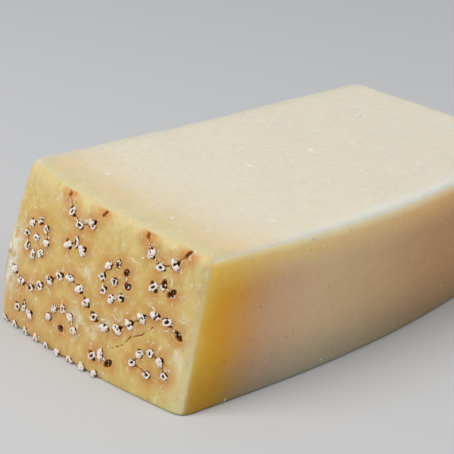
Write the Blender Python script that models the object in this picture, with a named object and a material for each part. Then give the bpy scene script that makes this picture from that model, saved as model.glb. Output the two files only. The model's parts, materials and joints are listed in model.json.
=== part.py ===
"""A chunk of hard cheese, cut from a wheel and lying on its flat underside.

One solid. The rind, a piece of the wheel's bulging side, closes the -X end: it
leans out towards its foot, and carries a moulded pattern of shallow pits. The
two long sides and the top are clean cuts, the far end is a cut across.

Sizes are in millimetres until the mesh is finished. The shape is worked out in
a frame of its own: along runs from the rind's top edge to the far end, across
from the left side to the right side, and up from the table. In the finished
part X runs along, Y from right to left, Z up, and the origin is under the
middle of the box that just holds the chunk, on the table.
"""

from bisect import bisect
from itertools import accumulate
from math import atan2, cos, pi, sin

import bmesh
import bpy
from mathutils import Matrix, Vector

MM = 0.001

# The block, before its edges are rounded.
RIND_WIDTH = 82.4  # across the rind, at its top edge
NEAR_LEFT_HEIGHT = 49.6  # the top is a plane through these three corners
NEAR_RIGHT_HEIGHT = 44.4
FAR_LEFT_HEIGHT = 43.5
LEFT_LENGTH = 142.8  # along the left side, at the top
FAR_SKEW = 0.105  # how much further the far end lies for each millimetre across
FAR_WIDTH = 71.5
LEFT_TOP_OUT = 0.9  # the left side's top edge, beyond the end of the rind's width
LEFT_FOOT_OUT = 4.4
RIGHT_FOOT_OUT = 0.8
RIGHT_BULGE = 8.6  # the right side, beyond a straight line between its ends

# The rind: part of a wheel's side, so it bulges both ways.
RIND_LEAN_LEFT = 11.9  # its foot, beyond its top edge
RIND_LEAN_RIGHT = 12.8
RIND_BOW = 2.9  # its middle, beyond a straight line between its sides

# How round the edges are: the upright ones, named by their corner, and the rims.
NEAR_LEFT_ROUND = 2.8
NEAR_RIGHT_ROUND = 3.2
FAR_LEFT_ROUND = 4.5
FAR_RIGHT_ROUND = 4.0
TOP_ROUND = 2.2
FOOT_ROUND = 0.9
UPRIGHT_STEPS, TOP_STEPS, FOOT_STEPS = 4, 3, 2
GRID_CUTS = 13  # cuts across each face of the block

# The pits.
DASH = (4.0, 2.3)  # a long pit's length and width
DOT = (2.9, 2.3)
DASH_PITCH = 5.0
PATH_STEPS = 400  # how finely a path is walked to space its dashes
PIT_DEPTH = 1.0
PIT_PROUD = 0.35  # how far a pit-cutting egg's middle stands out of the rind, for each unit of depth
EGG_SEGMENTS, EGG_RINGS = 8, 4

# The motifs that the pits make.
GARLAND_SIDES = (4.5, 78)
GARLAND_MIDDLE = 19.5
GARLAND_SWING = 4.5
GARLAND_WAVES = 2
FESTOON_SAG = 8.5
ROSETTE_RADIUS = 5
ROSETTE_DOTS = 8
FAN_RADIUS = 6
FAN_TURNS = (pi * 0.08, pi * 1.13)
FAN_DOTS = 5
SPRIG_REACH = 4.2  # from its foot to the middle of each dash
SPRIG_TURNS = (pi * 0.22, pi * 0.5, pi * 0.78)
FOOT_START = 4
FOOT_PITCH = 5.6
FOOT_DOTS = 9
FOOT_UP = 0.6


def mix(start, end, share):
    return start + (end - start) * share


# ---------------------------------------------------------------- the block


def top_height(along, across):
    fall_across = (NEAR_LEFT_HEIGHT - NEAR_RIGHT_HEIGHT) / RIND_WIDTH
    fall_along = (NEAR_LEFT_HEIGHT - FAR_LEFT_HEIGHT) / LEFT_LENGTH
    return NEAR_LEFT_HEIGHT - fall_across * across - fall_along * along


def rind_along(side, rise):
    """Where the rind is, at this share of its width and of its height."""
    drop = 1 - rise
    barrel = mix(sin(pi / 2 * drop), drop, side)
    lean = mix(RIND_LEAN_LEFT, RIND_LEAN_RIGHT, side)
    return -lean * barrel - RIND_BOW * sin(pi * side)


def left_across(rise):
    return -mix(LEFT_FOOT_OUT, LEFT_TOP_OUT, rise)


def right_across(along, rise):
    share = (along + RIND_LEAN_LEFT / 2) / (LEFT_LENGTH + RIND_LEAN_LEFT)
    straight = mix(RIND_WIDTH, FAR_WIDTH, share)
    return straight + RIGHT_BULGE * sin(pi * share) + RIGHT_FOOT_OUT * (1 - rise)


def block_point(length, side, rise):
    """The point of the block at these shares of its length, width and height."""
    far = LEFT_LENGTH + FAR_SKEW * mix(0, FAR_WIDTH, side)
    along = mix(rind_along(side, rise), far, length)
    across = mix(left_across(rise), right_across(along, rise), side)
    return Vector((along, -across, rise * top_height(along, across)))


def at_ends(vert):
    """Which of the cube's six faces a vertex lies on."""
    return {(axis, value > 0) for axis, value in enumerate(vert.co) if abs(abs(value) - 0.5) < 1e-6}


CORNER_ROUNDS = {
    (False, True): NEAR_LEFT_ROUND,
    (False, False): NEAR_RIGHT_ROUND,
    (True, True): FAR_LEFT_ROUND,
    (True, False): FAR_RIGHT_ROUND,
}


def upright_edges(mesh, far, left):
    """The edges of one upright corner of the unit cube."""
    corner = {(0, far), (1, not left)}
    return [edge for edge in mesh.edges if all(corner <= at_ends(vert) for vert in edge.verts)]


def rim_edges(mesh, up):
    """The edges between the top (up = 1) or the underside (up = -1) and the sides."""
    level, upright = 0.9, 0.6
    rim = []
    for edge in mesh.edges:
        facing = sorted(face.normal.z * up for face in edge.link_faces)
        if facing[0] < upright and facing[1] > level:
            rim.append(edge)
    return rim


def round_edges(mesh, edges, radius, segments):
    bmesh.ops.bevel(
        mesh, geom=edges, offset=radius, offset_type="OFFSET", segments=segments, profile=0.5,
        affect="EDGES", clamp_overlap=True,
    )
    mesh.normal_update()


def block_mesh():
    mesh = bmesh.new()
    bmesh.ops.create_cube(mesh, size=1)
    bmesh.ops.subdivide_edges(mesh, edges=mesh.edges[:], cuts=GRID_CUTS, use_grid_fill=True)
    corners = {corner: upright_edges(mesh, *corner) for corner in CORNER_ROUNDS}
    for vert in mesh.verts:
        length, across, rise = (value + 0.5 for value in vert.co)
        vert.co = block_point(length, across, rise)
    bmesh.ops.reverse_faces(mesh, faces=mesh.faces[:])  # across runs to -Y, which mirrors the cube
    mesh.normal_update()
    for (far, left), edges in corners.items():
        round_edges(mesh, edges, CORNER_ROUNDS[far, left], UPRIGHT_STEPS)
    round_edges(mesh, rim_edges(mesh, 1), TOP_ROUND, TOP_STEPS)
    round_edges(mesh, rim_edges(mesh, -1), FOOT_ROUND, FOOT_STEPS)
    return mesh


# ---------------------------------------------------------------- the pits


def run_of_dashes(path):
    """Dashes spaced evenly along a path: a function from a share of it to (across, up)."""
    points = [Vector(path(step / PATH_STEPS)) for step in range(PATH_STEPS + 1)]
    walked = list(accumulate(((b - a).length for a, b in zip(points, points[1:])), initial=0))
    count = round(walked[-1] / DASH_PITCH)
    pits = []
    for dash in range(count):
        step = bisect(walked, walked[-1] * (dash + 0.5) / count)
        across, up = points[step]
        run, climb = points[step] - points[step - 1]
        pits.append((across, up, atan2(climb, run), *DASH))
    return pits


def garland():
    """A wave of dashes from one side of the rind to the other."""

    def wave(share):
        rise = -GARLAND_SWING * sin(2 * pi * GARLAND_WAVES * share)
        return mix(*GARLAND_SIDES, share), GARLAND_MIDDLE + rise

    return run_of_dashes(wave)


def festoon(start, end):
    """A hanging curve of dashes between two places on the rind's top edge."""

    def hanging(share):
        across = mix(start, end, share)
        return across, top_height(0, across) - FESTOON_SAG * sin(pi * share)

    return run_of_dashes(hanging)


def ring(across, up, radius, start, end, count):
    """Dots round a middle, from one angle to another."""
    turns = [mix(start, end, step / count) for step in range(count)]
    return [(across + radius * cos(turn), up + radius * sin(turn), turn, *DOT) for turn in turns]


def rosette(across, up):
    """A ring of dots round a dot."""
    return [*ring(across, up, ROSETTE_RADIUS, 0, 2 * pi, ROSETTE_DOTS), (across, up, 0, *DOT)]


def fan(across, up):
    """Half a ring of dots over one dot."""
    return [*ring(across, up, FAN_RADIUS, *FAN_TURNS, FAN_DOTS), (across, up, 0, *DOT)]


def sprig(across, up):
    """Three dashes that spread from one foot."""
    return [
        (across + SPRIG_REACH * cos(turn), up + SPRIG_REACH * sin(turn), turn, *DASH) for turn in SPRIG_TURNS
    ]


def foot_row():
    """Dots along the foot of the rind's left half, each cut through by the underside."""
    return [(FOOT_START + FOOT_PITCH * step, FOOT_UP, pi / 2, *DOT) for step in range(FOOT_DOTS)]


def pattern():
    return [
        *garland(),
        *festoon(22, 42),
        *festoon(57, 75),
        *rosette(14, 30),
        *rosette(50.5, 28.5),
        *sprig(32, 30),
        *sprig(68, 28.5),
        *sprig(13.5, 4.5),
        *sprig(50, 3),
        *fan(32, 8.5),
        *fan(68, 7.5),
        *foot_row(),
    ]


def rind_place(across, up):
    """The rind's point there, with the directions across it, up it and out of it."""
    side = across / RIND_WIDTH
    tall = top_height(0, across)
    step = 0.01  # as a share of the rind's width or height
    here = block_point(0, side, up / tall)
    right = (block_point(0, side + step, up / tall) - here).normalized()
    above = (block_point(0, side, up / tall + step) - here).normalized()
    out = above.cross(right).normalized()
    return here, right, out.cross(right) * -1, out


def pit_cutters():
    """One flat egg for each pit, a little proud of the rind."""
    mesh = bmesh.new()
    for across, up, turn, length, width in pattern():
        here, right, above, out = rind_place(across, up)
        axes = Matrix((right, above, out)).transposed().to_4x4()
        place = Matrix.Translation(here + out * PIT_DEPTH * PIT_PROUD)
        lying = Matrix.Rotation(turn, 4, "Z")
        reach = PIT_DEPTH * (1 + PIT_PROUD)
        size = Matrix.Diagonal((length / 2, width / 2, reach, 1))
        bmesh.ops.create_uvsphere(
            mesh, u_segments=EGG_SEGMENTS, v_segments=EGG_RINGS, radius=1, matrix=place @ axes @ lying @ size
        )
    bmesh.ops.recalc_face_normals(mesh, faces=mesh.faces[:])
    return mesh


# ---------------------------------------------------------------- the part


def new_object(name, mesh):
    data = bpy.data.meshes.new(name)
    mesh.to_mesh(data)
    mesh.free()
    thing = bpy.data.objects.new(name, data)
    bpy.context.scene.collection.objects.link(thing)
    return thing


def settle(mesh, shift):
    """Moves a mesh to the part's frame, and to metres."""
    for vert in mesh.verts:
        vert.co = (vert.co + shift) * MM
    return mesh


def centring(mesh):
    """The move that brings the middle of the box over the origin."""
    low = Vector(min(vert.co[axis] for vert in mesh.verts) for axis in range(3))
    high = Vector(max(vert.co[axis] for vert in mesh.verts) for axis in range(3))
    return Vector((-(low.x + high.x) / 2, -(low.y + high.y) / 2, -low.z))


def cheese_material():
    material = bpy.data.materials.new("hard_cheese")
    material.use_nodes = True
    shader = material.node_tree.nodes["Principled BSDF"]
    shader.inputs["Base Color"].default_value = (0.68, 0.55, 0.33, 1)
    shader.inputs["Roughness"].default_value = 0.5
    shader.inputs["Metallic"].default_value = 0
    return material


def main():
    for old in list(bpy.data.objects):
        bpy.data.objects.remove(old, do_unlink=True)
    block = block_mesh()
    shift = centring(block)
    chunk = new_object("cheese_chunk", settle(block, shift))
    chunk.data.materials.append(cheese_material())
    chunk.data.shade_smooth()
    chunk.data.set_sharp_from_angle(angle=pi / 4)
    cutters = new_object("pit_cutters", settle(pit_cutters(), shift))
    cutters.hide_render = True
    cutters.display_type = "WIRE"
    pits = chunk.modifiers.new("pits", "BOOLEAN")
    pits.operation = "DIFFERENCE"
    pits.solver = "EXACT"
    pits.object = cutters


main()
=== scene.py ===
"""The looks of a chunk of hard cheese: its cut faces, its moulded rind and the bloom in the rind's pits."""

import json
from bisect import bisect
from contextlib import contextmanager
from itertools import accumulate
from math import atan2, cos, pi, radians, sin
from random import Random

import bmesh
import bpy
import numpy as np
from mathutils import Matrix, Vector, noise
from mathutils.bvhtree import BVHTree

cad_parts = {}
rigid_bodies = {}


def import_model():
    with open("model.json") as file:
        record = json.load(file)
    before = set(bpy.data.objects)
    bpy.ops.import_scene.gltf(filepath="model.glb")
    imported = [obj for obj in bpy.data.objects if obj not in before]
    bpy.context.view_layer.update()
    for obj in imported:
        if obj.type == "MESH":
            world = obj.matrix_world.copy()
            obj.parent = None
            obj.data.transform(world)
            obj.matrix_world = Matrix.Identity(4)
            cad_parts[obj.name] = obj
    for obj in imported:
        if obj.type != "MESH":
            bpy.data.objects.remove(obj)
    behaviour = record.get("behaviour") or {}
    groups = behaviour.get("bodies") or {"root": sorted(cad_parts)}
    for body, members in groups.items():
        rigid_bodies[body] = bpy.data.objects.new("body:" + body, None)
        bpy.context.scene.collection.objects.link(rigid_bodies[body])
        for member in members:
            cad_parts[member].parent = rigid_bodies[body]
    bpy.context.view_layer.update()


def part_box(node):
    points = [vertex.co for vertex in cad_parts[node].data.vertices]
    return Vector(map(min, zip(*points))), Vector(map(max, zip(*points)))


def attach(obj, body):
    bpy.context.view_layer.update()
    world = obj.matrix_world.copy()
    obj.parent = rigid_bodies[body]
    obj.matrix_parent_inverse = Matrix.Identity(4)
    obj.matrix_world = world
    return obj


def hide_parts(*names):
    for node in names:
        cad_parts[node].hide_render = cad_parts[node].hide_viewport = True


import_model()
LOW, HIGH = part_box("cheese_chunk")
MM = 0.001

# The block. Along runs from the rind's top edge, across from the left side.
RIND_WIDTH = 82.4 * MM
NEAR_LEFT_HEIGHT = 49.6 * MM
NEAR_RIGHT_HEIGHT = 44.4 * MM
FAR_LEFT_HEIGHT = 43.5 * MM
LEFT_LENGTH = 142.8 * MM
FAR_SKEW = 0.105
FAR_WIDTH = 71.5 * MM
LEFT_TOP_OUT = 0.9 * MM
LEFT_FOOT_OUT = 4.4 * MM
RIGHT_FOOT_OUT = 0.8 * MM
RIGHT_BULGE = 8.6 * MM
RIND_LEAN_LEFT = 11.9 * MM
RIND_LEAN_RIGHT = 12.8 * MM
RIND_BOW = 2.9 * MM
RIND_REACH = 15.12 * MM  # from the rind's top edge out to the end of the box
LEFT_REACH = 4.34 * MM  # from the left side's top edge out to the side of the box
START = Vector((LOW.x + RIND_REACH, HIGH.y - LEFT_REACH, 0))

NEAR_ROUND = 3.0 * MM
FAR_ROUND = 4.6 * MM
TOP_ROUND = 2.6 * MM
FOOT_ROUND = 0.9 * MM
CUTS = (21, 13, 7)  # along X, Y and Z
RIND_GRAIN = 2.2 * MM  # no edge of the rind's cage is longer
PIT_GRAIN = 1.1 * MM

# The pits.
DASH = (4.0 * MM, 2.3 * MM)
DOT = (2.9 * MM, 2.3 * MM)
DASH_PITCH = 5.0 * MM
PIT_DEPTH = 0.95 * MM
PATH_STEPS = 400

BLOOM_GRAIN = 0.15 * MM
BLOOM_FOOT = 0.35 * MM  # nothing of the bloom lies lower
FLECKS = 330
CRYSTALS = 150


def mix(start, end, share):
    return start + (end - start) * share


def smooth(value, low, high):
    """0 at low, 1 at high, with a soft start and end."""
    share = np.clip((value - low) / (high - low), 0, 1)
    return share * share * (3 - 2 * share)


# ------------------------------------------------------------------ hand tools


def deselect_all():
    for thing in bpy.context.view_layer.objects:
        thing.select_set(False)


def take(*pieces):
    deselect_all()
    for piece in pieces:
        piece.select_set(True)
    bpy.context.view_layer.objects.active = pieces[0]
    return pieces[0]


@contextmanager
def editing(piece):
    take(piece)
    bpy.ops.object.mode_set(mode="EDIT")
    yield
    bpy.ops.object.mode_set(mode="OBJECT")


def pick(piece, kind, test):
    """In edit mode: selects just the vertices, edges or faces that pass a test."""
    bpy.ops.mesh.select_mode(type=kind)
    bpy.ops.mesh.select_all(action="DESELECT")
    mesh = bmesh.from_edit_mesh(piece.data)
    for part in {"VERT": mesh.verts, "EDGE": mesh.edges, "FACE": mesh.faces}[kind]:
        part.select_set(test(part))
    mesh.select_flush_mode()
    bmesh.update_edit_mesh(piece.data)


def add_and_apply(piece, kind, **settings):
    take(piece)
    modifier = piece.modifiers.new(kind.lower(), kind)
    for name, value in settings.items():
        setattr(modifier, name, value)
    bpy.ops.object.modifier_apply(modifier=modifier.name)


def places(piece):
    """Every vertex's place, one row each."""
    flat = np.empty(len(piece.data.vertices) * 3)
    piece.data.vertices.foreach_get("co", flat)
    return flat.reshape(-1, 3)


def facings(piece):
    """Every vertex's normal, one row each."""
    flat = np.empty(len(piece.data.vertices) * 3)
    piece.data.vertex_normals.foreach_get("vector", flat)
    return flat.reshape(-1, 3)


def push(piece, direction, reach, weights, texture=None):
    """Moves each vertex by reach times its weight, and times a texture if there is one."""
    group = piece.vertex_groups.new(name="push")
    for index in np.flatnonzero(weights > 1e-4).tolist():
        group.add([index], float(weights[index]), "REPLACE")
    settings = {"direction": direction, "strength": reach, "mid_level": 0, "vertex_group": group.name}
    if texture:
        settings |= {"texture": texture, "texture_coords": "LOCAL", "mid_level": 0.5}
    add_and_apply(piece, "DISPLACE", **settings)
    piece.vertex_groups.remove(piece.vertex_groups["push"])


def clouds(name, size, depth=2):
    texture = bpy.data.textures.new(name, "CLOUDS")
    texture.noise_scale = size
    texture.noise_depth = depth
    return texture


def mark(piece, name, values):
    """Keeps a number on each vertex, for the materials to read."""
    attribute = piece.data.attributes.new(name, "FLOAT", "POINT")
    attribute.data.foreach_set("value", np.asarray(values, np.float32))


def ripple(at, size, seed):
    """Soft noise from about -1 to 1 at some places, one row each."""
    shift = Vector((seed * 7.3, seed * 3.1, seed * 5.7))
    return np.array([noise.noise(Vector(row) / size + shift) for row in at])


# ------------------------------------------------------------------ the block's form


def top_height(along, across):
    fall_across = (NEAR_LEFT_HEIGHT - NEAR_RIGHT_HEIGHT) / RIND_WIDTH
    fall_along = (NEAR_LEFT_HEIGHT - FAR_LEFT_HEIGHT) / LEFT_LENGTH
    return NEAR_LEFT_HEIGHT - fall_across * across - fall_along * along


def rind_lean(side):
    return mix(RIND_LEAN_LEFT, RIND_LEAN_RIGHT, side)


def rind_swell(side, rise):
    """How far the rind stands out beyond its straight slope."""
    drop = 1 - rise
    barrel = (np.sin(pi / 2 * drop) - drop) * (1 - side)
    return rind_lean(side) * barrel + RIND_BOW * np.sin(pi * side)


def left_across(rise):
    return -mix(LEFT_FOOT_OUT, LEFT_TOP_OUT, rise)


def right_across(length, rise):
    swell = RIGHT_BULGE * np.sin(pi * np.clip(length, 0, 1))
    return mix(RIND_WIDTH, FAR_WIDTH, length) + swell + RIGHT_FOOT_OUT * (1 - rise)


def length_at(along):
    return (along + RIND_LEAN_LEFT / 2) / (LEFT_LENGTH + RIND_LEAN_LEFT)


def corner(far, left, up):
    """A corner of the block before its faces swell."""
    side = 0 if left else 1
    along = LEFT_LENGTH + FAR_SKEW * FAR_WIDTH * side if far else -rind_lean(side) * (1 - up)
    across = left_across(up) if left else right_across(1 if far else 0, up)
    return START + Vector((along, -across, up * top_height(along, across)))


def from_faces(at):
    """How far some places lie behind the rind, below the top and inside the left and right sides."""
    along, across = at[:, 0] - START.x, START.y - at[:, 1]
    tall = top_height(along, across)
    rise = at[:, 2] / tall
    left, right = left_across(rise), right_across(length_at(along), rise)
    side = np.clip((across - left) / (right - left), 0, 1)
    behind = along + rind_lean(side) * (1 - rise) + rind_swell(side, rise)
    return behind, tall - at[:, 2], across - left, right - across


def on_pattern(at):
    """Where some places lie on the rind's pattern: across it and up it."""
    along, across = at[:, 0] - START.x, START.y - at[:, 1]
    rise = at[:, 2] / top_height(along, across)
    left, right = left_across(rise), right_across(length_at(along), rise)
    side = (across - left) / (right - left)
    return side * RIND_WIDTH, rise * top_height(0, side * RIND_WIDTH)


def rind_point(across, up):
    """The rind's point at a place on its pattern."""
    side, rise = across / RIND_WIDTH, up / top_height(0, across)
    along = -rind_lean(side) * (1 - rise) - rind_swell(side, rise)
    deep = mix(left_across(rise), right_across(length_at(along), rise), side)
    return START + Vector((along, -deep, rise * top_height(along, deep)))


def rind_frame(across, up, turn=0.0):
    """A frame on the rind: X across it, turned, and Z out of it."""
    step = 0.5 * MM
    here = rind_point(across, up)
    right = (rind_point(across + step, up) - here).normalized()
    out = (rind_point(across, up + step) - here).cross(right).normalized()
    axes = Matrix((right, out.cross(right), out)).transposed().to_4x4()
    return Matrix.Translation(here) @ axes @ Matrix.Rotation(turn, 4, "Z")


# ------------------------------------------------------------------ the rind's pattern


def run_of_dashes(path):
    """Dashes spaced evenly along a path: a function from a share of it to (across, up)."""
    points = [Vector(path(step / PATH_STEPS)) for step in range(PATH_STEPS + 1)]
    walked = list(accumulate(((b - a).length for a, b in zip(points, points[1:])), initial=0))
    count = round(walked[-1] / DASH_PITCH)
    pits = []
    for dash in range(count):
        step = bisect(walked, walked[-1] * (dash + 0.5) / count)
        run, climb = points[step] - points[step - 1]
        pits.append((*points[step], atan2(climb, run), *DASH))
    return pits


def garland():
    """A wave of dashes from one side of the rind to the other."""
    start, end, middle, swing, waves = 4.5 * MM, 78 * MM, 19.5 * MM, 4.5 * MM, 2
    return run_of_dashes(lambda share: (mix(start, end, share), middle - swing * sin(2 * pi * waves * share)))


def festoon(start, end):
    """A hanging curve of dashes between two places on the rind's top edge."""
    sag = 8.5 * MM

    def hanging(share):
        across = mix(start, end, share) * MM
        return across, top_height(0, across) - sag * sin(pi * share)

    return run_of_dashes(hanging)


def ring(across, up, radius, start, end, count):
    """Dots round a middle, from one angle to another."""
    turns = [mix(start, end, step / count) for step in range(count)]
    return [
        ((across + radius * cos(turn)) * MM, (up + radius * sin(turn)) * MM, turn, *DOT) for turn in turns
    ]


def rosette(across, up):
    return [*ring(across, up, 5, 0, 2 * pi, 8), (across * MM, up * MM, 0, *DOT)]


def fan(across, up):
    return [*ring(across, up, 6, pi * 0.08, pi * 1.13, 5), (across * MM, up * MM, 0, *DOT)]


def sprig(across, up):
    """Three dashes that spread from one foot."""
    reach = 4.2
    turns = (pi * 0.22, pi * 0.5, pi * 0.78)
    return [
        ((across + reach * cos(turn)) * MM, (up + reach * sin(turn)) * MM, turn, *DASH) for turn in turns
    ]


def foot_row():
    return [((4 + 5.6 * step) * MM, 0.6 * MM, pi / 2, *DOT) for step in range(9)]


def pattern():
    """The pits in their runs."""
    return [
        garland(),
        festoon(22, 42),
        festoon(57, 75),
        rosette(14, 30),
        rosette(50.5, 28.5),
        sprig(32, 30),
        sprig(68, 28.5),
        sprig(13.5, 4.5),
        sprig(50, 3),
        fan(32, 8.5),
        fan(68, 7.5),
        foot_row(),
    ]


PITS = [pit for run in pattern() for pit in run]


FULL, HALF, DARK, SMUDGE = "full", "half", "dark", "smudge"


def pit_states():
    """Whether each pit is full of bloom, half full, dark, or cut open to a smudge by the top edge."""
    chance = Random(11)
    states = [chance.choices((FULL, HALF, DARK), (82, 11, 7))[0] for _ in PITS]
    for index, (across, up, *_) in enumerate(PITS):
        if up > top_height(0, across) - 5 * MM:
            states[index] = SMUDGE
    return states


STATES = pit_states()


def seams():
    """The fine cracks that join one pit to the next in its run."""
    chance = Random(5)
    joined = []
    for run in pattern():
        for one, other in zip(run, run[1:]):
            start, end = Vector(one[:2]), Vector(other[:2])
            if (end - start).length < 6.5 * MM and chance.random() < 0.8:
                joined.append((start, end))
    return joined


CRACK = [(67, 20.5), (63.5, 17.2), (60, 15.6), (57.5, 12.5), (54, 10.5)]  # across and up, in mm


def crack_reach(across, up):
    """For places on the pattern: how far they lie from the one long crack."""
    corners = [Vector(corner) * MM for corner in CRACK]
    return line_reach(across, up, list(zip(corners, corners[1:])))


def pit_reach(across, up):
    """For places on the pattern: the nearest pit, and how far out of it they lie (1 on its rim)."""
    nearest = np.full(len(across), 1e3)
    which = np.zeros(len(across), int)
    gap = np.full(len(across), 1.0)
    for index, (middle, height, turn, length, width) in enumerate(PITS):
        dx, dy = across - middle, up - height
        u = (dx * cos(turn) + dy * sin(turn)) / (length / 2)
        v = (dy * cos(turn) - dx * sin(turn)) / (width / 2)
        out = np.hypot(u, v)
        which = np.where(out < nearest, index, which)
        nearest = np.minimum(nearest, out)
        gap = np.minimum(gap, np.maximum(np.hypot(dx, dy) - (length + width) / 4, 0))
    return nearest, which, gap


def line_reach(across, up, lines):
    """For places on the pattern: how far they lie from the nearest of some lines."""
    nearest = np.full(len(across), 1.0)
    for start, end in lines:
        run = end - start
        share = ((across - start.x) * run.x + (up - start.y) * run.y) / run.length_squared
        share = np.clip(share, 0, 1)
        nearest = np.minimum(nearest, np.hypot(across - start.x - share * run.x, up - start.y - share * run.y))
    return nearest


# ------------------------------------------------------------------ the cheese


def runs_along(axis):
    def test(edge):
        way = (edge.verts[0].co - edge.verts[1].co).normalized()
        return abs(way[axis]) > 0.8

    return test


def rounded(piece, test, width):
    """Rounds the sharp edges whose place, and two faces' lowest and highest slopes, pass a test."""

    def chosen(edge):
        one, other = (face.normal for face in edge.link_faces)
        if one.angle(other) < radians(45):
            return False
        return test(edge.verts[0].co, *sorted((one.z, other.z)))

    with editing(piece):
        pick(piece, "EDGE", chosen)
        bpy.ops.mesh.bevel(offset_type="OFFSET", offset=width, segments=2, profile=0.5, affect="EDGES")


def refined(piece, longest, near):
    """Halves the long edges of one region until none is longer than asked."""
    with editing(piece):
        while True:
            edges = bmesh.from_edit_mesh(piece.data).edges
            ends = np.array([[vert.co[:] for vert in edge.verts] for edge in edges])
            long = np.linalg.norm(ends[:, 0] - ends[:, 1], axis=1) > longest
            chosen = long & near(ends.mean(axis=1))
            if not chosen.any():
                return
            pick(piece, "EDGE", lambda edge: chosen[edge.index])
            bpy.ops.mesh.subdivide(number_cuts=1)


def near_rind(at):
    return from_faces(at)[0] < 3.5 * MM


def near_pit(at):
    across, up = on_pattern(at)
    gap = np.minimum(pit_reach(across, up)[2], crack_reach(across, up) + 0.6 * MM)
    return (from_faces(at)[0] < 1.2 * MM) & (gap < 1.4 * MM)


def block():
    """The plain block with its swells and rounded edges, in a cage that is finest round the pits."""
    middle = (LOW + HIGH) / 2
    bpy.ops.mesh.primitive_cube_add(size=1, location=middle, scale=HIGH - LOW)
    piece = bpy.context.object
    piece.name = "cheese"
    bpy.ops.object.transform_apply(location=True, rotation=True, scale=True)
    with editing(piece):
        for far in (False, True):
            for left in (False, True):
                for up in (0, 1):
                    here = (far, left, up)
                    pick(piece, "VERT", lambda vert: tuple(a > b for a, b in zip(vert.co, middle)) == here)
                    start = [high if which else low for which, low, high in zip(here, LOW, HIGH)]
                    bpy.ops.transform.translate(value=corner(*here) - Vector(start))
        for axis, cuts in enumerate(CUTS):
            pick(piece, "EDGE", runs_along(axis))
            bpy.ops.mesh.subdivide(number_cuts=cuts)
    at = places(piece)
    along, across = at[:, 0] - START.x, START.y - at[:, 1]
    rise = at[:, 2] / top_height(along, across)
    side = np.clip((across - left_across(rise)) / (right_across(0, rise) - left_across(rise)), 0, 1)
    for _ in range(2):  # the ends' places hang on the side's share, and the width on the length's
        near, far = -rind_lean(side) * (1 - rise), LEFT_LENGTH + FAR_SKEW * FAR_WIDTH * side
        length = np.clip((along - near) / (far - near), 0, 1)
        right = mix(right_across(0, rise), right_across(1, rise), length)
        side = np.clip((across - left_across(rise)) / (right - left_across(rise)), 0, 1)
    push(piece, "X", -1, (1 - length) * rind_swell(side, rise))
    push(piece, "Y", -RIGHT_BULGE, side * np.sin(pi * length))
    ends = np.interp(length, (0, 0.5, 1), (1.0, 0.35, 1.4))
    lift = np.maximum(ends * (1 - smooth(side, 0, 0.25)), 0.9 * smooth(length, 0.7, 1))
    push(piece, "Z", MM, lift * rise**4)
    rounded(piece, lambda at, low, high: low > -0.5 and high < 0.5 and at.x < 0, NEAR_ROUND)
    rounded(piece, lambda at, low, high: low > -0.5 and high < 0.5 and at.x > 0, FAR_ROUND)
    rounded(piece, lambda at, low, high: low < 0.6 and high > 0.9, TOP_ROUND)
    rounded(piece, lambda at, low, high: low < -0.9 and high > -0.6, FOOT_ROUND)
    refined(piece, RIND_GRAIN, near_rind)
    refined(piece, PIT_GRAIN, near_pit)
    add_and_apply(piece, "SUBSURF", levels=2, render_levels=2)
    return piece


def char_of_pits():
    """How burnt each pit's floor is."""
    chance = Random(21)
    return np.array([chance.uniform(0.5, 0.65) if state == SMUDGE else chance.uniform(0.85, 1) for state in STATES])


def scuff_at(across, up):
    """How crusty and pale the rind is: worst along its left edge, at half height."""
    high = smooth(up, 7 * MM, 16 * MM) * (1 - smooth(up, 27 * MM, 34 * MM))
    return high * (1 - smooth(across, 3.5 * MM, 10 * MM))


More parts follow.
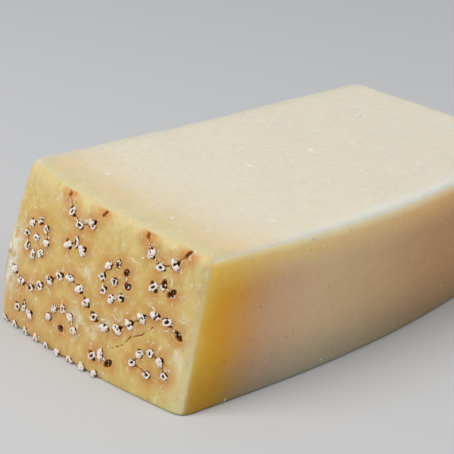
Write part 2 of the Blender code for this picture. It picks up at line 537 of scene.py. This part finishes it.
def cheese():
    piece = block()
    at, facing = places(piece), facings(piece)
    behind, below, from_left, from_right = from_faces(at)
    rind = smooth(-facing[:, 0], 0.35, 0.8) * (behind < 8 * MM)
    across, height = on_pattern(at)
    reach, which, gap = pit_reach(across, height)
    smudge = np.array(STATES)[which] == SMUDGE
    reach = reach * (1 + 0.16 * ripple(at, 1.1 * MM, 1)) * np.where(smudge, 1.7 + 0.7 * ripple(at, 0.8 * MM, 6), 1.08)
    deep = np.where(smudge, 0.5, 1.0)
    pressed = (1 - smooth(reach, 0.55, 1.1)) * rind * deep
    lip = smooth(reach, 0.85, 1.15) * (1 - smooth(reach, 1.2, 1.7)) * rind * deep
    drift = 0.3 * MM * ripple(at, 1.2 * MM, 2)
    seam = line_reach(across, height, seams()) + drift
    split = (1 - smooth(seam, 0.05 * MM, 0.4 * MM)) * rind * smooth(reach, 0.8, 1.1)
    broken = smooth(ripple(at, 2.5 * MM, 3), -0.6, -0.2)
    crack = (1 - smooth(crack_reach(across, height) + drift, 0.02 * MM, 0.3 * MM)) * rind * broken
    edge = scuff_at(across, height) * smooth(-facing[:, 0], 0.1, 0.4) * (behind < 8 * MM)
    scuff = edge * smooth(ripple(at * (1, 1, 0.45), 1.3 * MM, 4), -0.6, 0.1)
    push(piece, "NORMAL", -PIT_DEPTH, pressed)
    push(piece, "NORMAL", 0.14 * MM, lip)
    push(piece, "NORMAL", -0.3 * MM, np.maximum(split, crack))
    push(piece, "NORMAL", 0.5 * MM, smooth(at[:, 2], 0, 4 * MM) * (1 - 0.8 * rind), clouds("waves", 14 * MM))
    push(piece, "NORMAL", 0.2 * MM, rind, clouds("crust", 2.2 * MM))
    push(piece, "NORMAL", 0.4 * MM, scuff)
    push(piece, "NORMAL", 0.7 * MM, scuff, clouds("scuff", 0.9 * MM))
    floor = np.maximum((1 - smooth(reach, 0.72, 1.18)) * char_of_pits()[which], split * 0.5) * rind
    mark(piece, "rind", rind)
    mark(piece, "upward", smooth(facing[:, 2], 0.1, 0.9))
    mark(piece, "behind", behind / MM)
    mark(piece, "below", below / MM)
    mark(piece, "from_right", from_right / MM)
    mark(piece, "from_left", from_left / MM)
    mark(piece, "burn", np.maximum(floor, crack * 0.55))
    mark(piece, "halo", (1 - smooth(gap, 0, 4 * MM)) * rind)
    mark(piece, "scuff", scuff)
    return piece


# ------------------------------------------------------------------ bloom, flecks and crystals


def lump():
    """A round lump with a flatter underside, one unit in radius, that copies take their sizes from."""
    bpy.ops.mesh.primitive_uv_sphere_add(segments=8, ring_count=6, radius=1, location=(0, 0, 0))
    piece = bpy.context.object
    with editing(piece):
        pick(piece, "VERT", lambda vert: vert.co.z < -0.01)
        bpy.ops.transform.resize(value=(1, 1, 0.6), center_override=(0, 0, 0))
    return piece


def copies(model, name, frames):
    """One piece out of many copies of a model, each with a mesh of its own."""
    twins = []
    for frame_here in frames:
        twin = model.copy()
        twin.data = model.data.copy()
        bpy.context.scene.collection.objects.link(twin)
        twin.matrix_world = frame_here
        twins.append(twin)
    bpy.data.objects.remove(model)
    bpy.context.view_layer.update()
    take(*twins)
    bpy.ops.object.join()
    bpy.ops.object.transform_apply(location=True, rotation=True, scale=True)
    twins[0].name = name
    return twins[0]


def sized(place, x, y, z):
    return place @ Matrix.Diagonal((x, y, z, 1))


def moved(place, x, y, z=0.0):
    return place @ Matrix.Translation((x, y, z))


def turned(place, turn):
    return place @ Matrix.Rotation(turn, 4, "Z")


def bloom_lumps():
    """Where the bloom's lumps lie: round each pit inside its rim, in its middle, and along the seams."""
    chance = Random(3)
    frames = []
    for (across, up, turn, length, width), state in zip(PITS, STATES):
        if state == SMUDGE:
            continue
        pit = rind_frame(across, up, turn)
        if up < MM:
            pit = sized(moved(pit, 0, 0, -0.15 * MM), 1.25, 1.25, 1)
        count = 14 if length > 1.4 * width else 11
        bare = chance.uniform(0, 2 * pi)
        hollow = chance.random() < 0.45
        ways = [2 * pi * (step + chance.uniform(-0.35, 0.35)) / count for step in range(count)]
        if length > 1.4 * width:
            ways += [end + chance.uniform(-0.3, 0.3) for end in (0, 0, pi, pi)]
        for way in ways:
            if state == DARK or (state == HALF and cos(way - bare) > 0.1) or chance.random() < 0.06:
                continue
            out = chance.uniform(0.5, 0.78) if hollow else chance.uniform(0.6, 0.86)
            size = chance.uniform(0.28, 0.48) * MM
            here = moved(pit, cos(way) * out * length / 2, sin(way) * out * width / 2, -0.3 * MM)
            high = chance.uniform(0.26, 0.36) * MM
            frames.append(sized(turned(here, chance.uniform(0, pi)), size, size * chance.uniform(0.7, 1), high))
        for _ in range({FULL: count // 2, HALF: 2, DARK: 0}[state]):
            if hollow or chance.random() < 0.3:
                continue
            share = mix(-0.6, 0.6, chance.random())
            here = moved(pit, share * length / 2, chance.uniform(-0.3, 0.3) * width / 2, -0.5 * MM)
            size = chance.uniform(0.36, 0.56) * MM
            frames.append(sized(here, size * 1.2, size, chance.uniform(0.34, 0.5) * MM))
        for _ in range(chance.randint(3, 6) + (5 if state == DARK else 0)):
            way, out = chance.uniform(0, 2 * pi), chance.uniform(0.8, 1.1)
            deep, size = -0.12 * MM, chance.uniform(0.15, 0.26) * MM
            if state == DARK:
                out, size = chance.uniform(0.4, 1), 0.85 * size
                deep = -0.72 * MM * (1.1 - out)
            here = moved(pit, cos(way) * out * length / 2, sin(way) * out * width / 2, deep)
            frames.append(sized(turned(here, way), size, size * chance.uniform(0.8, 1.8), size * 0.8))
    for begin, finish in seams():
        if chance.random() < 0.5:
            for _ in range(chance.randint(2, 5)):
                spot = begin.lerp(finish, chance.uniform(0.3, 0.7))
                size = chance.uniform(0.15, 0.28) * MM
                here = rind_frame(spot.x, max(spot.y, 0.4 * MM), chance.uniform(0, pi))
                frames.append(sized(moved(here, 0, 0, -0.1 * MM), size * 1.4, size, size * 0.8))
    return frames


def rind_bloom():
    piece = copies(lump(), "rind_bloom", bloom_lumps())
    add_and_apply(piece, "REMESH", mode="VOXEL", voxel_size=BLOOM_GRAIN)
    with editing(piece):
        bpy.ops.mesh.select_all(action="SELECT")
        bpy.ops.mesh.bisect(
            plane_co=(0, 0, BLOOM_FOOT), plane_no=(0, 0, 1), clear_inner=True, use_fill=True
        )
    push(piece, "NORMAL", 0.22 * MM, np.ones(len(places(piece))), clouds("bloom_lumps", 0.8 * MM))
    push(piece, "NORMAL", 0.16 * MM, np.ones(len(places(piece))), clouds("bloom_grain", 0.3 * MM))
    # How deep each place of the bloom lies behind the rind's face, for the painted shade in the pits.
    mark(piece, "deep", from_faces(places(piece))[0] / MM)
    return piece


def skin_frame(skin, at, turn):
    """A frame on a piece's skin nearest a point, with Z out of it."""
    here, out, _, _ = skin.find_nearest(at)
    right = out.orthogonal().normalized() if abs(out.z) > 0.9 else out.cross(Vector((0, 0, 1))).normalized()
    axes = Matrix((right, out.cross(right), out)).transposed().to_4x4()
    return Matrix.Translation(here) @ axes @ Matrix.Rotation(turn, 4, "Z")


def rind_flecks(skin):
    """Thin pale flakes and scratches of dried bloom on the rind."""
    chance = Random(17)
    frames = []
    across = up = 20 * MM
    while len(frames) < FLECKS:
        beside = Vector((across + chance.gauss(0, 1.3) * MM, up + chance.gauss(0, 1.3) * MM))
        across, up = chance.uniform(1.5, 81) * MM, chance.uniform(1.5, 43) * MM
        if chance.random() < 0.5:
            across, up = np.clip(beside, 1.5 * MM, (81 * MM, 43 * MM))
        edge = len(frames) % 4 == 0
        if edge:
            across, up = chance.uniform(-1.5, 6) * MM, chance.gauss(20, 6) * MM
        if pit_reach(np.array([across]), np.array([up]))[0][0] < 1.25:
            continue
        long = min(chance.lognormvariate(-0.85, 0.7), 2.0) * MM
        thin = min(chance.uniform(0.12, 0.36) * MM, long)
        turn = chance.gauss(pi / 2, 0.5) if edge else chance.gauss(chance.choice((-0.6, 1.3)), 0.7)
        here = skin_frame(skin, rind_point(across, max(up, 2 * MM)), turn)
        frames.append(sized(here, long, thin, chance.uniform(0.04, 0.08) * MM))
    piece = copies(lump(), "rind_flecks", frames)
    push(piece, "NORMAL", 0.06 * MM, np.ones(len(places(piece))), clouds("fleck_bends", 0.5 * MM))
    return piece


def crystals(whole, skin):
    """Small pale crystals, set in the cut faces."""
    chance = Random(29)
    at, facing = places(whole), facings(whole)
    cut = np.flatnonzero((from_faces(at)[0] > 9 * MM) & (facing[:, 2] > -0.5))
    frames = []
    for index in chance.sample(cut.tolist(), CRYSTALS):
        size = min(chance.lognormvariate(-0.9, 0.5), 1.3) * MM
        here = skin_frame(skin, Vector(at[index]), chance.uniform(0, pi))
        frames.append(sized(here, size, size * chance.uniform(0.45, 0.8), size * 0.12))
    piece = copies(lump(), "crystals", frames)
    push(piece, "NORMAL", 0.06 * MM, np.ones(len(places(piece))), clouds("crystal_faces", 0.5 * MM))
    # Which crystals lie near the top; the paint makes the others darker, as painted shade.
    mark(piece, "upward", 1 - smooth(from_faces(places(piece))[1], 0.8 * MM, 3 * MM))
    return piece


# ------------------------------------------------------------------ materials


class Paint:
    """A material and short calls for its nodes."""

    def __init__(self, name):
        self.material = bpy.data.materials.new(name)
        self.material.use_nodes = True
        self.tree = self.material.node_tree
        self.shader = self.tree.nodes["Principled BSDF"]
        self.place = self.tree.nodes.new("ShaderNodeTexCoord").outputs["Object"]

    def put(self, socket, value):
        if isinstance(value, bpy.types.NodeSocket):
            self.tree.links.new(value, socket)
        elif isinstance(value, tuple):
            socket.default_value = (*value, 1)[: len(socket.default_value)]
        else:
            socket.default_value = value

    def add(self, kind, values, output=0, **settings):
        node = self.tree.nodes.new("ShaderNode" + kind)
        for name, value in settings.items():
            setattr(node, name, value)
        for name, value in values.items():
            self.put(node.inputs[name], value)
        return node.outputs[output]

    def read(self, name):
        return self.add("Attribute", {}, "Fac", attribute_name=name)

    def math(self, operation, *values):
        return self.add("Math", dict(enumerate(values)), operation=operation)

    def times(self, *values):
        result = values[0]
        for value in values[1:]:
            result = self.math("MULTIPLY", result, value)
        return result

    def noise(self, size, detail=2.0, rough=0.5, stretch=(1, 1, 1), turn=(0, 0, 0)):
        """Noise from 0 to 1, with grains of a size in mm."""
        place = self.add("Mapping", {"Vector": self.place, "Scale": stretch, "Rotation": turn})
        values = {"Vector": place, "Scale": 1000 / size, "Detail": detail, "Roughness": rough}
        return self.add("TexNoise", values)

    def step(self, value, low, high):
        """0 at low, 1 at high, soft between."""
        values = {"Value": value, "From Min": low, "From Max": high}
        return self.add("MapRange", values, interpolation_type="SMOOTHSTEP")

    def blend(self, share, one, other, how="MIX"):
        """From one colour to the other by a share."""
        node = self.tree.nodes.new("ShaderNodeMix")
        node.data_type = "RGBA"
        node.blend_type = how
        self.put(node.inputs[0], share)
        self.put(node.inputs[6], one)
        self.put(node.inputs[7], other)
        return node.outputs[2]

    def ramp(self, value, length, stops):
        """Colours along a length in mm."""
        node = self.tree.nodes.new("ShaderNodeValToRGB")
        node.color_ramp.interpolation = "B_SPLINE" if len(stops) > 3 else "EASE"
        points = node.color_ramp.elements
        while len(points) < len(stops):
            points.new(0.5)
        for point, (at, colour) in zip(points, stops):
            point.position = at / length
            point.color = (*colour, 1)
        self.put(node.inputs["Fac"], self.math("DIVIDE", value, length))
        return node.outputs["Color"]

    def bump(self, height, reach, normal=None):
        values = {"Height": height, "Distance": reach * MM, "Strength": 1.0}
        if normal:
            values["Normal"] = normal
        return self.add("Bump", values)

    def waxy(self, roughness, subsurface, scale, radius=(1.0, 0.5, 0.22)):
        self.shader.inputs["Roughness"].default_value = roughness
        self.shader.inputs["Subsurface Weight"].default_value = subsurface
        self.shader.inputs["Subsurface Radius"].default_value = radius
        self.shader.inputs["Subsurface Scale"].default_value = scale * MM
        self.shader.inputs["IOR"].default_value = 1.45


def paste_colour(paint):
    """The cut faces: cream on top, amber to tan at the sides. The sides also carry painted shade, darker towards the
    foot, and a painted glow of light through the cheese near their top; the top's edges carry a painted sheen.
    """
    behind, below = paint.read("behind"), paint.read("below")
    drift = paint.math("MULTIPLY_ADD", paint.noise(9, 3), 9, -4.5)
    far = paint.math("ADD", behind, drift)
    top = paint.ramp(far, 150, [
        (0, (0.62, 0.56, 0.32)), (4, (0.72, 0.61, 0.35)), (9, (0.79, 0.62, 0.36)),
        (18, (0.81, 0.70, 0.51)), (30, (0.82, 0.74, 0.58)), (150, (0.82, 0.76, 0.61)),
    ])
    # The sides' colours are partly the cheese's own amber and tan, partly painted shade: darker and more saturated
    # than the top's.
    side = paint.ramp(far, 150, [
        (0, (0.80, 0.58, 0.12)), (3, (0.84, 0.50, 0.04)), (8, (0.86, 0.41, 0.015)), (14, (0.80, 0.40, 0.07)),
        (24, (0.71, 0.42, 0.27)), (45, (0.82, 0.62, 0.37)), (90, (0.57, 0.31, 0.14)), (150, (0.54, 0.29, 0.13)),
    ])
    # Painted shade: the sides darken and turn greyer towards their foot.
    low = paint.step(below, 22, 50)
    shade = paint.blend(paint.step(behind, 2, 18), (0.56, 0.53, 0.62), (0.40, 0.57, 0.73))
    side = paint.blend(low, side, paint.blend(1.0, side, shade, "MULTIPLY"))
    # Painted glow: a golden strip along the top of each side, for light that shines through the cheese from the lit
    # top.
    painted_glow_strip = paint.ramp(behind, 150, [
        (0, (0.93, 0.67, 0.12)), (15, (0.95, 0.72, 0.22)), (45, (0.92, 0.74, 0.39)), (110, (0.88, 0.48, 0.13)),
    ])
    side = paint.blend(paint.step(below, 13, 1), side, painted_glow_strip)
    # Painted sheen: the side turns pale along its rounded top edge.
    side = paint.blend(paint.times(paint.step(below, 4, 1), 0.62), side, (0.96, 0.93, 0.66))
    from_right, from_left = paint.read("from_right"), paint.read("from_left")
    # Painted sheen: a pale, cool band along the top's right edge, wider far from the rind.
    painted_sheen_band = paint.math("DIVIDE", from_right, paint.math("MULTIPLY_ADD", paint.step(behind, 5, 80), 4.5, 2.5))
    top = paint.blend(paint.times(paint.step(painted_sheen_band, 1, 0), 0.9), top, (0.83, 0.84, 0.76))
    spots = paint.times(paint.step(paint.noise(5, 3, 0.6), 0.66, 0.74), 0.8)
    top = paint.blend(spots, top, (0.90, 0.89, 0.82))
    # Painted cool sheen: the top turns greyer within 8 mm of its left edge.
    top = paint.blend(paint.times(paint.step(from_left, 8, 0), 0.75), top, (0.63, 0.62, 0.53))
    # The sides take the side colours, partly painted shade, and the top takes the cream.
    colour = paint.blend(paint.step(paint.read("upward"), 0.15, 0.75), side, top)
    grain = paint.times(paint.step(paint.noise(1.2, 2), 0.55, 0.8), paint.step(paint.read("upward"), -0.5, 1), 0.2)
    colour = paint.blend(grain, colour, (0.88, 0.84, 0.74))
    cloudy = paint.times(paint.step(paint.noise(3.2, 5, 0.75), 0.42, 0.62), 0.22)
    colour = paint.blend(cloudy, colour, paint.blend(1.0, colour, (0.88, 0.84, 0.76), "MULTIPLY"))
    pores = paint.times(
        paint.step(paint.noise(1.0, 1, 0.4), 0.7, 0.78), paint.math("MULTIPLY_ADD", paint.read("upward"), -0.35, 0.5)
    )
    return paint.blend(pores, colour, paint.blend(1.0, colour, (0.62, 0.48, 0.34), "MULTIPLY"))


def rind_colour(paint):
    behind, below, from_right = paint.read("behind"), paint.read("below"), paint.read("from_right")
    tan, gold, pale = (0.66, 0.47, 0.16), (0.70, 0.53, 0.19), (0.71, 0.63, 0.32)
    colour = paint.blend(paint.step(paint.noise(16, 3), 0.35, 0.65), tan, gold)
    low = paint.math("MULTIPLY_ADD", paint.step(below, 12, 34), 0.65, 0.35)
    border = paint.math("MAXIMUM", paint.times(paint.step(from_right, 15, 2), low), paint.step(below, 12, 1))
    colour = paint.blend(paint.times(border, 0.75), colour, pale)
    mottle = paint.noise(3, 5, 0.7)
    colour = paint.blend(paint.times(paint.step(mottle, 0.48, 0.72), 0.6), colour, (0.75, 0.65, 0.38))
    colour = paint.blend(paint.times(paint.step(mottle, 0.5, 0.3), 0.5), colour, (0.58, 0.37, 0.10))
    halo = paint.times(paint.read("halo"), paint.step(paint.noise(5, 2), 0.2, 0.6))
    colour = paint.blend(paint.times(halo, 0.95), colour, (0.62, 0.31, 0.09))
    # Painted highlight: the rind turns pale along its rounded right edge, more so low down.
    rim = paint.times(paint.step(from_right, 5, 1), low, 0.7)
    colour = paint.blend(rim, colour, (0.76, 0.71, 0.45))
    blotch = paint.step(paint.noise(5, 5, 0.75), 0.58, 0.68)
    colour = paint.blend(paint.times(blotch, 0.7), colour, (0.81, 0.76, 0.60))
    patch = paint.step(paint.noise(11, 4, 0.6), 0.6, 0.7)
    colour = paint.blend(paint.times(patch, 0.6), colour, (0.80, 0.75, 0.58))
    for turn in (0.5, 2.0, 3.4):
        specks = paint.step(paint.noise(0.9, 2, 0.6, (1, 1, 0.3), (turn, 0, 0)), 0.66, 0.76)
        colour = paint.blend(paint.times(specks, 0.45), colour, (0.80, 0.73, 0.52))
    crust = paint.times(paint.read("scuff"), paint.step(paint.noise(1.2, 3, 0.7, (1, 1, 0.5)), 0.25, 0.5))
    colour = paint.blend(crust, colour, (0.84, 0.81, 0.72))
    patchy = paint.add("MapRange", {"Value": paint.noise(0.7, 3, 0.6), "From Min": 0.3, "From Max": 0.7, "To Min": 0.6, "To Max": 1.2})
    burn = paint.ramp(paint.times(paint.read("burn"), patchy), 1, [
        (0, (1, 1, 1)), (0.25, (0.86, 0.60, 0.26)), (0.55, (0.32, 0.16, 0.01)), (1, (0.05, 0.02, 0.005)),
    ])
    return paint.blend(1.0, colour, burn, "MULTIPLY")


def cheese_paint():
    paint = Paint("cheese")
    colour = paint.blend(paint.read("rind"), paste_colour(paint), rind_colour(paint))
    paint.put(paint.shader.inputs["Base Color"], colour)
    fine = paint.bump(paint.noise(0.7, 3, 0.6), 0.05)
    coarse = paint.bump(paint.noise(2.6, 4, 0.6), 0.2, fine)
    paint.put(paint.shader.inputs["Normal"], coarse)
    paint.waxy(0.42, 0.7, 6)
    paint.put(paint.shader.inputs["Roughness"], paint.math("MULTIPLY_ADD", paint.read("burn"), 0.4, 0.42))
    paint.shader.inputs["Specular IOR Level"].default_value = 0.3
    return paint.material


def bloom_paint():
    paint = Paint("white_bloom")
    colour = paint.blend(paint.step(paint.noise(0.9, 3), 0.35, 0.65), (0.78, 0.65, 0.55), (0.94, 0.87, 0.80))
    stain = paint.step(paint.noise(0.8, 2, 0.5, (1, 1, 1), (1, 2, 3)), 0.6, 0.7)
    colour = paint.blend(paint.times(stain, 0.5), colour, (0.48, 0.28, 0.15))
    # Painted shade: bloom that lies deeper behind the rind's face, down in its pit, is painted dark brown, then near
    # black.
    deep = paint.math("MULTIPLY_ADD", paint.noise(0.5, 2), 0.3, paint.read("deep"))
    colour = paint.blend(paint.step(deep, 0.38, 0.62), colour, (0.16, 0.07, 0.03))
    colour = paint.blend(paint.step(deep, 0.6, 0.85), colour, (0.02, 0.01, 0.008))
    paint.put(paint.shader.inputs["Base Color"], colour)
    paint.put(paint.shader.inputs["Normal"], paint.bump(paint.noise(0.25, 3, 0.7), 0.06))
    paint.waxy(0.75, 0.2, 0.8, (1, 0.8, 0.6))
    return paint.material


def fleck_paint():
    paint = Paint("dry_flecks")
    colour = paint.blend(paint.step(paint.noise(3, 3), 0.3, 0.7), (0.67, 0.52, 0.24), (0.77, 0.69, 0.47))
    paint.put(paint.shader.inputs["Base Color"], colour)
    paint.put(paint.shader.inputs["Normal"], paint.bump(paint.noise(0.3, 2), 0.03))
    paint.shader.inputs["Roughness"].default_value = 0.7
    return paint.material


def crystal_paint():
    paint = Paint("crystals")
    # Painted shade: crystals on the sides are painted darker and warmer than those on the top.
    colour = paint.blend(paint.read("upward"), (0.74, 0.60, 0.42), (0.88, 0.84, 0.72))
    paint.put(paint.shader.inputs["Base Color"], colour)
    paint.put(paint.shader.inputs["Normal"], paint.bump(paint.noise(0.3, 2), 0.02))
    paint.shader.inputs["Roughness"].default_value = 0.55
    return paint.material


# ------------------------------------------------------------------ the whole


def finish(piece, material):
    take(piece)
    bpy.ops.object.shade_smooth()
    piece.data.materials.clear()
    piece.data.materials.append(material)
    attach(piece, "root")


# ------------------------------------------------------------------ camera, light and floor


def camera():
    view = bpy.data.cameras.new("camera")
    view.sensor_width = 36
    view.lens = 129.9
    view.clip_start = 0.01
    thing = bpy.data.objects.new("camera", view)
    bpy.context.scene.collection.objects.link(thing)
    thing.location = START + Vector((-0.2677, -0.3842, 0.2212))
    thing.rotation_euler = (radians(67.39), 0, radians(-42.1))
    bpy.context.scene.camera = thing


def soft_light(name, place, aim, size, power, colour=(1, 1, 1)):
    light = bpy.data.lights.new(name, "AREA")
    light.shape = "RECTANGLE"
    light.size, light.size_y = size
    light.energy = power
    light.color = colour
    thing = bpy.data.objects.new(name, light)
    bpy.context.scene.collection.objects.link(thing)
    thing.location = place
    thing.rotation_euler = (Vector(aim) - Vector(place)).to_track_quat("-Z", "Y").to_euler()


def studio():
    scene = bpy.context.scene
    scene.view_settings.view_transform = "Standard"
    world = bpy.data.worlds.new("studio")
    scene.world = world
    world.use_nodes = True
    world.node_tree.nodes["Background"].inputs["Color"].default_value = (0.93, 0.96, 1, 1)
    world.node_tree.nodes["Background"].inputs["Strength"].default_value = 0.4
    soft_light("window", (-0.68, 0.28, 0.85), (0, 0, 0.03), (0.8, 0.8), 8.5)
    soft_light("ceiling", (0.25, -0.7, 0.85), (0, 0, 0.03), (0.8, 0.8), 2.4)
    bpy.ops.mesh.primitive_plane_add(size=6, location=(0, 0, 0))
    floor = bpy.context.object
    floor.name = "floor"
    paint = bpy.data.materials.new("pale_floor")
    paint.use_nodes = True
    shader = paint.node_tree.nodes["Principled BSDF"]
    shader.inputs["Base Color"].default_value = (0.6, 0.6, 0.6, 1)
    shader.inputs["Roughness"].default_value = 0.8
    floor.data.materials.append(paint)


def main():
    deselect_all()
    camera()
    studio()
    whole = cheese()
    finish(whole, cheese_paint())
    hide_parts("cheese_chunk")
    finish(rind_bloom(), bloom_paint())
    skin = BVHTree.FromPolygons(
        [vert.co for vert in whole.data.vertices], [face.vertices for face in whole.data.polygons]
    )
    finish(rind_flecks(skin), fleck_paint())
    finish(crystals(whole, skin), crystal_paint())


main()
